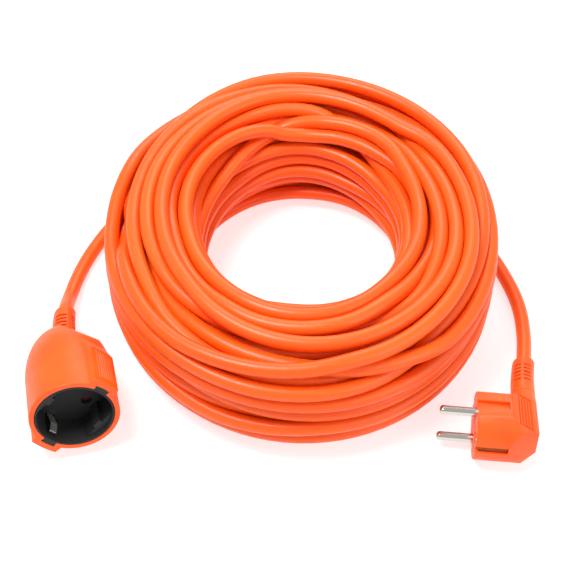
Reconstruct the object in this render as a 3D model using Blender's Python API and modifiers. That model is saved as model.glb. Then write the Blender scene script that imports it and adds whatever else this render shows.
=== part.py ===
"""An orange extension cord: a long three-core lead wound into a coil, with an earthed socket coupler
on one end and an angled earthed plug on the other. Metres, +Z up, resting on the plane Z = 0.

The coupler and the plug are each modelled in a frame of their own, with +Z out of the mouth or the face,
and an empty puts each frame where that end lies beside the coil."""

import math

import bmesh
import bpy
from mathutils import Matrix, Vector

MM = 0.001
GAP = 0.3 * MM  # between pieces that touch on the real cord

# The lead and its coil
CORD_RADIUS = 4.1 * MM
CORE_RADIUS = 1.3 * MM
COIL_CENTRE = Vector((8.0, 4.0, 0.0)) * MM
COIL_OUTER = 115.5 * MM  # of the round coil, before it is squeezed to an oval
COIL_INNER = 57.0 * MM
COIL_HEIGHT = 75.0 * MM
COIL_ROUNDING = 20.0 * MM
COIL_SQUEEZE = (0.953, 1.047, 1.0)

# The socket coupler, whose mouth plane is z = 0 and whose lead leaves along -z
SOCKET_MOUTH = Vector((-108.7, -108.8, 30.6)) * MM
SOCKET_YAW = math.radians(13.3)
SOCKET_TILT = math.radians(10.0)
SOCKET_ROLL = math.radians(43.0)
SHELL_RADIUS = 23.3 * MM
SHELL_BORE = 20.6 * MM
SHELL_STRAIGHT = 27.0 * MM
SHELL_LENGTH = 60.0 * MM
RIM_EDGE = 0.6 * MM
RIDGE_REACH = 26.6 * MM  # from the axis to the flat grip ridge over each earth clip
RIDGE_WIDTH = 15.4 * MM
RIDGE_STRAIGHT = 25.0 * MM
RIDGE_LENGTH = 39.0 * MM
SHOULDER_FLAT = 40.5 * MM  # from the middle of the mouth to the slanting flat beside the neck
SHOULDER_SLANT = math.radians(34.0)
SHOULDER_TURN = math.radians(8.0)
NECK_RADIUS = 6.6 * MM
NECK_BORE = CORD_RADIUS + GAP
INSERT_RADIUS = SHELL_BORE - GAP
RECESS_RADIUS = 19.5 * MM
RECESS_DEPTH = 17.5 * MM
GUIDE_FLAT = 16.2 * MM  # from the axis to each flat beside the pin holes
GUIDE_FLAT_TOP = 2.7 * MM  # below the mouth
GUIDE_RIB_WIDTH = 5.0 * MM
GUIDE_RIB_HEIGHT = 1.8 * MM
FLOOR_THICKNESS = 2.6 * MM
TAB_WIDTH = 7.8 * MM
TAB_DEPTH = 2.5 * MM
TAB_REACH = 22.9 * MM
CARRIER_TOP = 25.2 * MM  # below the mouth
CARRIER_BOTTOM = 38.0 * MM
CLIP_WIDTH = 4.0 * MM
CLIP_THICKNESS = 0.7 * MM
CLIP_PIVOT = 33.0 * MM  # below the mouth
CLIP_SEAT = 19.0 * MM  # from the axis to the middle of each clip's foot
SHUTTER_TOP = 20.6 * MM  # below the mouth
SHUTTER_THICKNESS = 1.6 * MM
SHUTTER_LOBE = 3.4 * MM
POST_RADIUS = 1.5 * MM
CONTACT_RADIUS = 3.5 * MM
CRIMP_RADIUS = 2.1 * MM
CRIMP_LENGTH = 3.0 * MM

# The pins and their holes, as on every plug and socket of this type
PIN_RADIUS = 2.4 * MM
PIN_LENGTH = 19.0 * MM
PIN_OFFSET = 9.5 * MM
PIN_HOLE = 2.7 * MM

# The plug, whose face is z = 0 and whose lead leaves along +y
PLUG_FACE = Vector((97.8, -105.7, 18.1)) * MM
PLUG_YAW = math.radians(5.4)
PLUG_TILT = math.radians(11.7)
PLUG_RADIUS = 17.75 * MM
PLUG_DEPTH = 32.0 * MM
PLUG_WALL = 3.2 * MM
PLUG_BACK_WALL = 2.4 * MM
PLUG_FRONT = 17.0 * MM  # the round front, which enters a socket
PLUG_BACK_SLOPE = math.radians(29.0)
PLUG_EXIT_DEPTH = 26.8 * MM  # from the face to the lead's axis
PLUG_BOSS_RADIUS = 6.5 * MM
PLUG_BOSS_END = 24.0 * MM
GRIP_FLAT = 15.7 * MM  # from the axis to the start of each slanting side, behind the front
GRIP_SLANT = math.radians(32.0)
GRIP_START = 18.0 * MM
GRIP_DEPTH = 0.7 * MM
GRIP_LENGTH = 23.0 * MM
GRIP_WIDTH = 9.0 * MM
GRIP_RIBS = 4
GRIP_RIB_WIDTH = 0.9 * MM
GRIP_RIB_PITCH = 1.9 * MM
GRIP_MIDDLE = 8.2 * MM  # down the slanting side to the middle of the panel
CHAMBER_RADIUS = 12.6 * MM
BRIDGE_RADIUS = 12.2 * MM
BRIDGE_THICKNESS = 6.7 * MM
PLUG_RELIEF_END = 51.5 * MM
EARTH_SLOT_WIDTH = 4.2 * MM
EARTH_SLOT_LENGTH = 16.6 * MM
EARTH_SLOT_DEPTH = 2.4 * MM
EARTH_SLEEVE_PLACE = 8.5 * MM  # from the pin line to the round earth contact
EARTH_HOLE_RADIUS = 3.4 * MM

RELIEF_LENGTH = 22.0 * MM
RELIEF_TIP = 5.4 * MM
RELIEF_BORE = CORD_RADIUS + 0.5 * MM
RELIEF_GROOVE = 0.8 * MM
SOCKET_SIDEWAYS = (math.cos(SOCKET_ROLL), -math.sin(SOCKET_ROLL), 0.0)  # level, in the socket's frame
SOCKET_RELIEF_BEND = 9.0  # 1 / bend radius in metres: each lead bows sideways as it leaves
PLUG_RELIEF_BEND = 5.5

ORANGE = ("moulded_orange_pvc", (0.93, 0.155, 0.035, 1.0), 0.42, 0.0)
CORD_ORANGE = ("orange_cord_jacket", (0.95, 0.165, 0.04, 1.0), 0.38, 0.0)
BLACK = ("black_insert", (0.012, 0.012, 0.013, 1.0), 0.45, 0.0)
GREY = ("dark_grey_carrier", (0.05, 0.05, 0.055, 1.0), 0.5, 0.0)
RED = ("dark_red_shutter", (0.16, 0.015, 0.01, 1.0), 0.5, 0.0)
NICKEL = ("nickel_plated_brass", (0.62, 0.59, 0.54, 1.0), 0.22, 1.0)
BRASS = ("brass", (0.72, 0.52, 0.24, 1.0), 0.3, 1.0)
STEEL = ("spring_steel", (0.5, 0.5, 0.52, 1.0), 0.3, 1.0)
BROWN = ("brown_core", (0.10, 0.035, 0.012, 1.0), 0.5, 0.0)
BLUE = ("blue_core", (0.02, 0.09, 0.45, 1.0), 0.5, 0.0)
GREEN = ("green_yellow_core", (0.15, 0.42, 0.05, 1.0), 0.5, 0.0)


# ---------------------------------------------------------------- helpers


def clear_scene():
    for o in list(bpy.data.objects):
        bpy.data.objects.remove(o)


def collection(name):
    made = bpy.data.collections.new(name)
    bpy.context.scene.collection.children.link(made)
    return made


def material(name, colour, roughness, metallic):
    found = bpy.data.materials.get(name)
    if found:
        return found
    made = bpy.data.materials.new(name)
    made.use_nodes = True
    shader = made.node_tree.nodes["Principled BSDF"]
    shader.inputs["Base Color"].default_value = colour
    shader.inputs["Roughness"].default_value = roughness
    shader.inputs["Metallic"].default_value = metallic
    return made


def empty(name, matrix):
    made = bpy.data.objects.new(name, None)
    made.empty_display_size = 0.02
    parts.objects.link(made)
    made.matrix_world = matrix
    return made


def part(name, mesh, look, frame=None, place=(0, 0, 0)):
    """A named piece from a mesh, in its frame and with its own material."""
    made = bpy.data.objects.new(name, mesh)
    mesh.materials.append(material(*look))
    mesh.shade_smooth()
    mesh.set_sharp_from_angle(angle=math.radians(35))
    parts.objects.link(made)
    made.parent = frame
    made.location = place
    return made


def cutter(name, mesh, frame=None, place=(0, 0, 0), turn=0.0):
    """A guide for a Boolean: never part of the model. turn is about the frame's z axis."""
    made = bpy.data.objects.new(name, mesh)
    cutters.objects.link(made)
    made.parent = frame
    made.location = place
    made.rotation_euler = (0, 0, turn)
    made.hide_render = True
    made.display_type = "WIRE"
    return made


def combine(piece, other, operation="DIFFERENCE"):
    step = piece.modifiers.new(other.name, "BOOLEAN")
    step.object = other
    step.operation = operation
    step.solver = "EXACT"


def from_bmesh(name, bm):
    mesh = bpy.data.meshes.new(name)
    bm.to_mesh(mesh)
    bm.free()
    return mesh


def box_mesh(name, size, middle=(0, 0, 0)):
    bm = bmesh.new()
    bmesh.ops.create_cube(bm, size=1.0)
    bmesh.ops.scale(bm, vec=size, verts=bm.verts)
    bmesh.ops.translate(bm, vec=middle, verts=bm.verts)
    return from_bmesh(name, bm)


def rod_mesh(name, radius, length, sides=32, along="Z", middle=(0, 0, 0)):
    """A closed cylinder along one axis."""
    bm = bmesh.new()
    bmesh.ops.create_cone(bm, cap_ends=True, segments=sides, radius1=radius, radius2=radius, depth=length)
    turn = Matrix()
    if along == "Y":
        turn = Matrix.Rotation(-math.pi / 2, 4, "X")
    bmesh.ops.transform(bm, matrix=Matrix.Translation(middle) @ turn, verts=bm.verts)
    return from_bmesh(name, bm)


def prism_mesh(name, outline, low, high):
    """A flat outline in x and y, counterclockwise, raised from low to high along z."""
    bm = bmesh.new()
    face = bm.faces.new([bm.verts.new((x, y, low)) for x, y in outline])
    face.normal_flip()
    raised = bmesh.ops.extrude_face_region(bm, geom=[face], use_keep_orig=True)
    top = [v for v in raised["geom"] if isinstance(v, bmesh.types.BMVert)]
    bmesh.ops.translate(bm, vec=(0, 0, high - low), verts=top)
    bmesh.ops.recalc_face_normals(bm, faces=bm.faces)
    return from_bmesh(name, bm)


def turned(name, outline, look, frame, sides=48, closed=True):
    """A turned piece: a Screw of an outline of (radius, z), given down its outer side.
    A closed outline is a ring's section; an open one runs from the axis back to the axis."""
    mesh = bpy.data.meshes.new(name)
    edges = [(i, i + 1) for i in range(len(outline) - 1)]
    if closed:
        edges.append((len(outline) - 1, 0))
    mesh.from_pydata([(r, 0, z) for r, z in outline], edges, [])
    made = part(name, mesh, look, frame)
    screw = made.modifiers.new("turn", "SCREW")
    screw.steps = screw.render_steps = sides
    screw.use_merge_vertices = True
    screw.merge_threshold = 0.00001
    screw.use_smooth_shade = True
    return made


def arc(centre, radii, start, stop, steps):
    """Points of an ellipse arc in (radius, z), angles in degrees from +radius towards +z."""
    angles = [math.radians(start + (stop - start) * i / steps) for i in range(steps + 1)]
    return [(centre[0] + radii[0] * math.cos(a), centre[1] + radii[1] * math.sin(a)) for a in angles]


def smooth_route(points, count):
    """count points, evenly spaced, on a Catmull-Rom curve through the route's own points."""
    points = [Vector(p) for p in points]
    padded = [2 * points[0] - points[1], *points, 2 * points[-1] - points[-2]]
    dense = []
    for a, b, c, d in zip(padded, padded[1:], padded[2:], padded[3:]):
        slope = c - a
        bend = 2 * a - 5 * b + 4 * c - d
        twist = 3 * b - a - 3 * c + d
        for i in range(24):
            t = i / 24
            dense.append(b + 0.5 * (slope * t + bend * t**2 + twist * t**3))
    dense.append(points[-1])
    reach = [0.0]
    for a, b in zip(dense, dense[1:]):
        reach.append(reach[-1] + (b - a).length)
    found, k = [], 0
    for i in range(count):
        want = reach[-1] * i / (count - 1)
        while k < len(reach) - 2 and reach[k + 1] < want:
            k += 1
        step = reach[k + 1] - reach[k]
        found.append(dense[k].lerp(dense[k + 1], (want - reach[k]) / step))
    return found


def tube(name, points, radius, look, frame=None, detail=2):
    """A round wire through its points, with flat closed ends."""
    curve = bpy.data.curves.new(name, "CURVE")
    curve.dimensions = "3D"
    curve.bevel_depth = radius
    curve.bevel_resolution = detail
    curve.use_fill_caps = True
    spline = curve.splines.new("POLY")
    spline.points.add(len(points) - 1)
    for point, place in zip(spline.points, points):
        point.co = (*place, 1.0)
    curve.materials.append(material(*look))
    made = bpy.data.objects.new(name, curve)
    parts.objects.link(made)
    made.parent = frame
    return made


def socket_matrix():
    """+z out of the mouth, +x along the line through the two earth clips."""
    facing = Matrix.Rotation(SOCKET_YAW, 4, "Z") @ Matrix.Rotation(math.pi / 2 - SOCKET_TILT, 4, "X")
    return Matrix.Translation(SOCKET_MOUTH) @ facing @ Matrix.Rotation(SOCKET_ROLL, 4, "Z")


def plug_matrix():
    """+z out of the face towards the pin tips, +y along the lead, x through both pins."""
    facing = Matrix(((0, 0, -1, 0), (0, 1, 0, 0), (1, 0, 0, 0), (0, 0, 0, 1)))
    turn = Matrix.Rotation(-PLUG_YAW, 4, "Z") @ Matrix.Rotation(-PLUG_TILT, 4, "X")
    return Matrix.Translation(PLUG_FACE) @ turn @ facing


# ---------------------------------------------------------------- socket coupler


def socket_shell(frame):
    """A turned shell with a rounded shoulder, and a flat grip ridge along it over each earth clip."""
    neck_width = SHELL_RADIUS - NECK_RADIUS
    shoulder = arc((NECK_RADIUS, -SHELL_STRAIGHT), (neck_width, SHELL_LENGTH - SHELL_STRAIGHT), 0, -90, 8)
    chamber = CARRIER_BOTTOM + 2.5 * MM
    outline = [
        (SHELL_RADIUS - RIM_EDGE, 0),
        (SHELL_RADIUS, -RIM_EDGE),
        *shoulder,
        (NECK_BORE, -SHELL_LENGTH),
        (NECK_BORE, -SHELL_LENGTH + 6 * MM),
        (SHELL_BORE - 7 * MM, -SHELL_LENGTH + 9 * MM),
        (SHELL_BORE - 3 * MM, -chamber - 4 * MM),
        (SHELL_BORE, -chamber),
        (SHELL_BORE, 0),
    ]
    shell = turned("socket_shell", outline, ORANGE, frame, 40)
    root = SHELL_BORE + 0.8 * MM
    top = -0.1 * MM
    side_view = [
        (root, top),
        (root, -RIDGE_STRAIGHT - 6 * MM),
        (root - 0.6 * MM, -RIDGE_LENGTH),
        (RIDGE_REACH, -RIDGE_STRAIGHT),
        (RIDGE_REACH, top),
    ]
    for side, turn in (("right", 0.0), ("left", math.pi)):
        ridge = prism_mesh("grip_ridge", side_view, -RIDGE_WIDTH / 2, RIDGE_WIDTH / 2)
        ridge.transform(Matrix.Rotation(math.pi / 2, 4, "X"))
        combine(shell, cutter(f"grip_ridge_{side}", ridge, frame, turn=turn), "UNION")
        block = box_mesh("shoulder_flat", (20 * MM, 80 * MM, 80 * MM), (SHOULDER_FLAT + 10 * MM, 0, 0))
        flat = cutter(f"shoulder_flat_{side}", block, frame)
        flat.rotation_euler = (0, SHOULDER_SLANT, SHOULDER_TURN + turn)
        combine(shell, flat)
    notch_size = (2 * (TAB_REACH + GAP), TAB_WIDTH + 2 * GAP, 2 * (TAB_DEPTH + GAP))
    combine(shell, cutter("rim_notch", box_mesh("rim_notch", notch_size), frame))


def recess_outline():
    """The recess in plan: a circle cut off by two flats, each with a rib in its middle."""
    corner = math.asin(GUIDE_FLAT / RECESS_RADIUS)
    rib, top = GUIDE_RIB_WIDTH / 2, GUIDE_FLAT - GUIDE_RIB_HEIGHT
    steps = 12
    right = [-corner + 2 * corner * i / steps for i in range(steps + 1)]
    left = [math.pi + a for a in right]
    outline = [(RECESS_RADIUS * math.cos(a), RECESS_RADIUS * math.sin(a)) for a in right]
    outline += [(rib, GUIDE_FLAT), (rib, top), (-rib, top), (-rib, GUIDE_FLAT)]
    outline += [(RECESS_RADIUS * math.cos(a), RECESS_RADIUS * math.sin(a)) for a in left]
    outline += [(-rib, -GUIDE_FLAT), (-rib, -top), (rib, -top), (rib, -GUIDE_FLAT)]
    return outline


def socket_insert(frame):
    bottom = RECESS_DEPTH + FLOOR_THICKNESS
    drum = rod_mesh("socket_insert", INSERT_RADIUS, bottom, 40, middle=(0, 0, -bottom / 2))
    insert = part("socket_insert", drum, BLACK, frame)
    tabs = box_mesh("rim_tabs", (2 * TAB_REACH, TAB_WIDTH, TAB_DEPTH), (0, 0, -TAB_DEPTH / 2 - 0.2 * MM))
    combine(insert, cutter("rim_tabs", tabs, frame), "UNION")
    mouth = rod_mesh("recess_mouth", RECESS_RADIUS + 0.1 * MM, 2 * GUIDE_FLAT_TOP, 40)
    combine(insert, cutter("recess_mouth", mouth, frame))
    recess = prism_mesh("recess", recess_outline(), -RECESS_DEPTH, -GUIDE_FLAT_TOP + 0.1 * MM)
    combine(insert, cutter("recess", recess, frame))
    slot_height = bottom - TAB_DEPTH
    slot_inside, slot_outside = 17.3 * MM, 19.9 * MM
    slot_size = (slot_outside - slot_inside, CLIP_WIDTH + 1.2 * MM, slot_height)
    for side in (1, -1):
        hole = rod_mesh("pin_hole", PIN_HOLE, 8 * MM, 16, middle=(0, side * PIN_OFFSET, -RECESS_DEPTH))
        combine(insert, cutter(f"pin_hole_{side}", hole, frame))
        slot_place = (side * (slot_inside + slot_outside) / 2, 0, -TAB_DEPTH - slot_height / 2 - GAP)
        combine(insert, cutter(f"clip_slot_{side}", box_mesh("clip_slot", slot_size, slot_place), frame))


def socket_shutter(frame):
    """A bar with a round lobe over each pin hole, turning on the carrier's post."""
    top = -SHUTTER_TOP
    mesh = prism_mesh("socket_shutter", lobed_bar(), top - SHUTTER_THICKNESS, top)
    shutter = part("socket_shutter", mesh, RED, frame)
    hub = rod_mesh("shutter_hub", POST_RADIUS + GAP, 6 * MM, 24, middle=(0, 0, top))
    combine(shutter, cutter("shutter_hub", hub, frame))


def lobed_bar():
    """The shutter in plan: a bar with half-round ends, one over each pin hole."""
    steps = 8
    sweep = [math.pi * i / steps for i in range(steps + 1)]
    ends = [(SHUTTER_LOBE * math.cos(a), PIN_OFFSET + SHUTTER_LOBE * math.sin(a)) for a in sweep]
    return [*ends, *((-x, -y) for x, y in ends)]


def shutter_spring(frame):
    """A light torsion spring of two and a half turns round the post."""
    turns, per_turn, radius = 2.5, 10, 2.5 * MM
    low, high = -CARRIER_TOP + 0.8 * MM, -SHUTTER_TOP - SHUTTER_THICKNESS - 0.7 * MM
    count = int(turns * per_turn)
    coil = []
    for i in range(count + 1):
        angle = 2 * math.pi * i / per_turn
        coil.append((radius * math.cos(angle), radius * math.sin(angle), low + (high - low) * i / count))
    foot = (radius + 3 * MM, -1.5 * MM, low)
    arm = (-radius - 3 * MM, -1.5 * MM, high)
    tube("shutter_spring", [foot, *coil, arm], 0.25 * MM, STEEL, frame, detail=1)


def contact_carrier(frame):
    """The block behind the recess floor, with pockets for the contacts and a post for the shutter."""
    height = CARRIER_BOTTOM - CARRIER_TOP
    middle = -(CARRIER_TOP + CARRIER_BOTTOM) / 2
    block = rod_mesh("socket_contact_carrier", INSERT_RADIUS, height, 40, middle=(0, 0, middle))
    carrier = part("socket_contact_carrier", block, GREY, frame)
    post_top = SHUTTER_TOP + 0.2 * MM
    post_bottom = CARRIER_TOP + 2 * MM
    post_middle = (0, 0, -(post_top + post_bottom) / 2)
    post = rod_mesh("shutter_post", POST_RADIUS, post_bottom - post_top, 24, middle=post_middle)
    combine(carrier, cutter("shutter_post", post, frame), "UNION")
    notch_size = (6 * MM, CLIP_WIDTH + 1.2 * MM, height + 2 * MM)
    for side in (1, -1):
        pocket_middle = (0, side * PIN_OFFSET, middle)
        pocket = rod_mesh("contact_pocket", CONTACT_RADIUS + GAP, height + 2 * MM, 16, middle=pocket_middle)
        combine(carrier, cutter(f"contact_pocket_{side}", pocket, frame))
        notch = box_mesh("clip_notch", notch_size, (side * 21.2 * MM, 0, middle))
        combine(carrier, cutter(f"clip_notch_{side}", notch, frame))


def pin_contact(name, side, frame):
    """A brass sleeve that grips a pin, split down one side."""
    top, bottom = -CARRIER_TOP - 0.4 * MM, -CARRIER_BOTTOM + 0.4 * MM
    bore = PIN_RADIUS + 0.15 * MM
    outline = [(CONTACT_RADIUS, top), (CONTACT_RADIUS, bottom), (bore, bottom), (bore, top)]
    contact = turned(name, outline, BRASS, frame, 16)
    contact.location = (0, side * PIN_OFFSET, 0)
    split_size = (1.0 * MM, 4 * MM, top - bottom + 2 * MM)
    split = box_mesh("split", split_size, (0, side * 3 * MM, (top + bottom) / 2))
    combine(contact, cutter(f"{name}_split", split, contact))


def earth_clip(name, side, frame):
    """A bent spring strip in the recess wall. It turns about its foot as a plug pushes it out."""
    half = CLIP_THICKNESS / 2
    centre_line = [
        (CLIP_SEAT, -CARRIER_BOTTOM + 0.3 * MM),
        (CLIP_SEAT, -RECESS_DEPTH - 2 * MM),
        (16.3 * MM, -9.5 * MM),
        (17.6 * MM, -4.2 * MM),
    ]
    outer = [(x + half - CLIP_SEAT, z + CLIP_PIVOT) for x, z in centre_line]
    inner = [(x - half - CLIP_SEAT, z + CLIP_PIVOT) for x, z in reversed(centre_line)]
    mesh = prism_mesh(name, [*outer, *inner], -CLIP_WIDTH / 2, CLIP_WIDTH / 2)
    mesh.transform(Matrix.Rotation(math.pi / 2, 4, "X"))
    clip = part(name, mesh, NICKEL, frame, (side * CLIP_SEAT, 0, -CLIP_PIVOT))
    clip.rotation_euler = (0, 0, 0 if side > 0 else math.pi)


def earth_bridge(frame):
    """A brass strip across the carrier's back that joins the two earth clips."""
    thickness = 0.8 * MM
    size = (2 * CLIP_SEAT + 1.2 * MM, 5 * MM, thickness)
    strip = box_mesh("socket_earth_bridge", size, (0, 0, -CARRIER_BOTTOM - GAP - thickness / 2))
    part("socket_earth_bridge", strip, BRASS, frame)


def crimp(name, place, frame):
    """A short crimped sleeve round a core's end."""
    sleeve = part(name, rod_mesh(name, CRIMP_RADIUS, CRIMP_LENGTH, 16, middle=place), BRASS, frame)
    bore = rod_mesh("crimp_bore", CORE_RADIUS + GAP, CRIMP_LENGTH + 2 * MM, 16, middle=place)
    combine(sleeve, cutter(f"{name}_bore", bore, frame))


def socket_cores(frame):
    """Three cores fan out from the end of the jacket to the contacts and the earth bridge."""
    sheath_end = -SHELL_LENGTH + 4.0 * MM
    crimp_low = -CARRIER_BOTTOM - 4.4 * MM
    ends = (("live", 0, PIN_OFFSET, BROWN), ("neutral", 0, -PIN_OFFSET, BLUE), ("earth", 6.0 * MM, 0, GREEN))
    for name, x, y, look in ends:
        outwards = Vector((x, y, 0)).normalized()
        start = outwards * 2.4 * MM
        start.z = sheath_end + GAP
        straight = start + Vector((0, 0, 3 * MM))
        spread = Vector((x * 0.6, y * 0.6, crimp_low - 7 * MM))
        route = [start, straight, spread, (x, y, crimp_low - 1 * MM), (x, y, crimp_low + 2 * MM)]
        tube(f"socket_{name}_core", smooth_route(route, 9), CORE_RADIUS, look, frame)
        crimp(f"socket_{name}_crimp", (x, y, crimp_low + 1.0 * MM), frame)


def strain_relief(name, frame, start, root, length, grooves, sideways, bend):
    """A tapered sleeve on the lead, with grooves that let it bend, along -z of its frame.
    It bows towards sideways by half the bend times the square of the way along it."""
    pitch = length * 0.62 / grooves
    outline = [(RELIEF_BORE, 0), (root, 0)]
    for i in range(grooves):
        for share, sink in ((0.0, 0), (0.45, 0), (0.5, 1), (0.95, 1)):
            along = length * 0.14 + (i + share) * pitch
            outline.append((root + (RELIEF_TIP - root) * along / length - sink * RELIEF_GROOVE, along))
    edge = 0.5 * MM
    tip = RELIEF_TIP
    outline += [(tip + 0.1 * MM, length * 0.8), (tip, length - edge), (tip - edge, length)]
    outline += [(RELIEF_BORE, length * k / 4) for k in (4, 3, 2, 1)]
    sides = 20
    bm = bmesh.new()
    rings = []
    for radius, along in outline:
        middle = Vector(sideways) * (0.5 * bend * along**2)
        ring = []
        for k in range(sides):
            a = 2 * math.pi * k / sides
            ring.append(bm.verts.new(middle + Vector((radius * math.cos(a), radius * math.sin(a), -along))))
        rings.append(ring)
    for first, second in zip(rings, [*rings[1:], rings[0]]):
        for k in range(sides):
            following = (k + 1) % sides
            bm.faces.new((first[k], first[following], second[following], second[k]))
    bmesh.ops.recalc_face_normals(bm, faces=bm.faces)
    return part(name, from_bmesh(name, bm), ORANGE, frame, start)


def relief_axis(matrix, start, away, sideways, bend, distances):
    """Points on a strain relief's bowed axis, in the shared frame."""
    bow = [Vector(sideways) * (0.5 * bend * max(s, 0.0) ** 2) for s in distances]
    return [matrix @ (Vector(start) + Vector(away) * s + b) for s, b in zip(distances, bow)]


def socket():
    frame = empty("socket_frame", socket_matrix())
    socket_shell(frame)
    socket_insert(frame)
    socket_shutter(frame)
    shutter_spring(frame)
    contact_carrier(frame)
    pin_contact("socket_live_contact", 1, frame)
    pin_contact("socket_neutral_contact", -1, frame)
    earth_clip("earth_clip_right", 1, frame)
    earth_clip("earth_clip_left", -1, frame)
    earth_bridge(frame)
    socket_cores(frame)
    start = (0, 0, -SHELL_LENGTH - GAP)
    bow = (SOCKET_SIDEWAYS, SOCKET_RELIEF_BEND)
    strain_relief("socket_strain_relief", frame, start, NECK_RADIUS, RELIEF_LENGTH, 4, *bow)


# ---------------------------------------------------------------- plug


def plug_front_cuts(body, frame):
    """Pin holes, the two guide flats with their grooves, and the two earth slots of the round front."""
    flat_reach = GUIDE_FLAT - 0.5 * MM
    flat_size = (10 * MM, 40 * MM, 2 * (EARTH_SLOT_LENGTH + 1 * MM))
    groove_size = (4.4 * MM, GUIDE_RIB_WIDTH + 0.8 * MM, 2 * EARTH_SLOT_LENGTH)
    slot_size = (EARTH_SLOT_WIDTH, 2 * EARTH_SLOT_DEPTH, 2 * EARTH_SLOT_LENGTH)
    for side in (1, -1):
        hole = rod_mesh("pin_hole", PIN_HOLE, 10 * MM, 16, middle=(side * PIN_OFFSET, 0, -2 * MM))
        combine(body, cutter(f"plug_pin_hole_{side}", hole, frame))
        flat = box_mesh("guide_flat", flat_size, (side * (flat_reach + flat_size[0] / 2), 0, 0))
        combine(body, cutter(f"guide_flat_{side}", flat, frame))
        groove = box_mesh("guide_groove", groove_size, (side * flat_reach, 0, 0))
        combine(body, cutter(f"guide_groove_{side}", groove, frame))
        slot = box_mesh("earth_slot", slot_size, (0, side * PLUG_RADIUS, 0))
        combine(body, cutter(f"earth_slot_{side}", slot, frame))
    hole = rod_mesh("earth_hole", EARTH_HOLE_RADIUS, 14 * MM, 24, middle=(0, -EARTH_SLEEVE_PLACE, -4 * MM))
    combine(body, cutter("earth_hole", hole, frame))


def slanting_side(name, side, inset, frame):
    """A block outside one slanting side of the grip, or outside a plane that lies inset from it."""
    made = cutter(name, box_mesh(name, (20 * MM, 60 * MM, 80 * MM), (10 * MM, 0, 0)), frame)
    across = GRIP_FLAT - inset * math.cos(GRIP_SLANT)
    made.location = (side * across, 0, -GRIP_START + inset * math.sin(GRIP_SLANT))
    made.rotation_euler = (0, GRIP_SLANT, 0 if side > 0 else math.pi)
    return made


def plug_grip_cuts(body, frame):
    """Slanting sides behind the front, each with a sunk panel that keeps a few ribs for the fingers."""
    panel_size = (2 * GRIP_DEPTH, GRIP_LENGTH, GRIP_WIDTH)
    rib_size = (2 * GRIP_DEPTH, GRIP_LENGTH - 3 * MM, GRIP_RIB_WIDTH)
    for side in (1, -1):
        combine(body, slanting_side(f"grip_side_{side}", side, 0.0, frame))
        across = GRIP_FLAT - GRIP_MIDDLE * math.sin(GRIP_SLANT)
        place = (side * across, 1 * MM, -GRIP_START - GRIP_MIDDLE * math.cos(GRIP_SLANT))
        panel = cutter(f"grip_panel_{side}", box_mesh("grip_panel", panel_size), frame, place)
        panel.rotation_euler = (0, GRIP_SLANT, 0 if side > 0 else math.pi)
        for i in range(GRIP_RIBS):
            step = (i - (GRIP_RIBS - 1) / 2) * GRIP_RIB_PITCH
            rib = box_mesh("grip_rib", rib_size, (-1.2 * GRIP_DEPTH, 0, step))
            combine(panel, cutter(f"grip_rib_{side}_{i}", rib, panel))
        combine(body, panel)


def sloped_cutter(name, inset, frame):
    """A block below the plug's sloped back, or below a plane that lies inset from it."""
    slope = box_mesh(name, (60 * MM, 20 * MM, 60 * MM), (0, -10 * MM, 0))
    side, back = math.cos(PLUG_BACK_SLOPE), math.sin(PLUG_BACK_SLOPE)
    made = cutter(name, slope, frame, (0, -PLUG_RADIUS + 0.1 * MM + inset * side, -PLUG_FRONT + inset * back))
    made.rotation_euler = (PLUG_BACK_SLOPE, 0, 0)
    return made


def plug_body(frame):
    """A round front, a flat-sided grip behind it, a sloped back, and a boss that the lead leaves by."""
    edge = 3.0 * MM
    back = arc((PLUG_RADIUS - edge, -PLUG_DEPTH + edge), (edge, edge), 0, -90, 4)
    outline = [(0, 0), (PLUG_RADIUS - 0.4 * MM, 0), (PLUG_RADIUS, -0.4 * MM), *back, (0, -PLUG_DEPTH)]
    body = turned("plug_body", outline, ORANGE, frame, 48, closed=False)
    boss_start = 8 * MM
    boss_length = PLUG_BOSS_END - boss_start
    boss_middle = (0, boss_start + boss_length / 2, -PLUG_EXIT_DEPTH)
    boss = rod_mesh("lead_boss", PLUG_BOSS_RADIUS, boss_length, 32, "Y", boss_middle)
    combine(body, cutter("lead_boss", boss, frame), "UNION")
    combine(body, sloped_cutter("back_slope", 0.0, frame))
    depth = PLUG_DEPTH - PLUG_WALL - PLUG_BACK_WALL
    chamber = rod_mesh("chamber", CHAMBER_RADIUS, depth, 40, middle=(0, 0, -PLUG_WALL - depth / 2))
    room = cutter("chamber", chamber, frame)
    limit = box_mesh("chamber_limit", (40 * MM, 40 * MM, 80 * MM), (0, 8.5 * MM, 0))
    combine(room, cutter("chamber_limit", limit, frame), "INTERSECT")
    combine(room, sloped_cutter("chamber_slope", 2.6 * MM, frame))
    for side in (1, -1):
        combine(room, slanting_side(f"chamber_side_{side}", side, 2.6 * MM, frame))
    combine(body, room)
    bore = rod_mesh("lead_bore", NECK_BORE, 20 * MM, 24, "Y", (0, 20 * MM, -PLUG_EXIT_DEPTH))
    combine(body, cutter("lead_bore", bore, frame))
    plug_grip_cuts(body, frame)
    plug_front_cuts(body, frame)


def plug_pin(name, side, frame):
    """A round pin with a domed tip, standing in the bridge behind the face."""
    root = PLUG_WALL + 7 * MM
    dome = arc((PIN_RADIUS - 1.9 * MM, PIN_LENGTH - 1.9 * MM), (1.9 * MM, 1.9 * MM), 90, 0, 6)
    outline = [(0, PIN_LENGTH), *dome, (PIN_RADIUS, -root), (0, -root)]
    pin = turned(name, outline, NICKEL, frame, 16, closed=False)
    pin.location = (side * PIN_OFFSET, 0, 0)


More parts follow.
